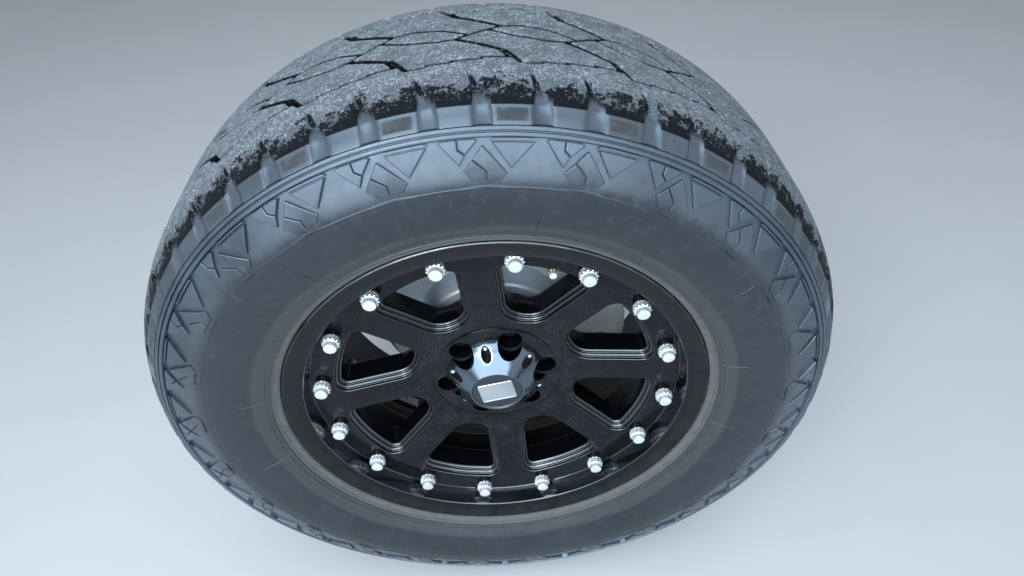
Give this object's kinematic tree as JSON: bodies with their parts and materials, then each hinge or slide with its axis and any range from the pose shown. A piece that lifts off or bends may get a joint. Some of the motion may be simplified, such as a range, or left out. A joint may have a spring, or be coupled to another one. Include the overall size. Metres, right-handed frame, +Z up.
{
  "type": "off-road wheel and disc-brake wheel end",
  "caption": "Deep-dish black off-road wheel with a ring of lip bolts, an all-terrain tyre, and the hub, ventilated brake disc, caliper and bearing housing it turns on.",
  "frame": {"origin": "centre of the bearing housing's mounting face, where it bolts to the end of the axle tube, on the wheel's axis", "axes": "+Z up, -Y out of the vehicle along the wheel's axis, +X to the front of the vehicle"},
  "size_m": [0.8913, 0.3303, 0.8917],
  "materials": {
    "wheel_paint": "satin black powder coat with a gloss wall",
    "tyre": "matt off-road rubber, glossier on the moulded sidewall",
    "bolt_zinc": "bright zinc plate",
    "hub_steel": "machined steel",
    "nut_black": "black plated steel",
    "disc_iron": "turned iron, zinc washed",
    "cap_chrome": "smoked chrome",
    "brass": "plain brass",
    "chrome": "bright chrome",
    "weight_steel": "dull zinc",
    "axle_iron": "black painted casting, dusty",
    "shield_steel": "dull zinc sheet",
    "caliper_zinc": "zinc plated casting",
    "pad_plate": "black painted steel",
    "pad_lining": "dull pressed friction compound"
  },
  "bodies": {
    "axle_end": {"bearing_housing": "axle_iron", "dust_shield": "shield_steel", "caliper_bracket": "axle_iron", "bracket_bolts": "bolt_zinc", "caliper_body": "caliper_zinc", "pad_plates": "pad_plate", "pad_linings": "pad_lining", "slide_pins": "bolt_zinc", "bleed_screw": "brass"},
    "wheel": {"wheel_casting": "wheel_paint", "tyre": "tyre", "lip_bolts": "bolt_zinc", "hub_shaft": "hub_steel", "wheel_studs": "bolt_zinc", "lug_nuts": "nut_black", "brake_disc": "disc_iron", "centre_cap": "cap_chrome", "valve_stem": "brass", "valve_cap": "chrome", "balance_weights": "weight_steel"}
  },
  "joints": [
    {"name": "wheel_spin", "type": "hinge", "parent": "axle_end", "child": "wheel", "pos_m": [0, 0, 0], "axis": [0, 1, 0], "continuous": true}
  ]
}
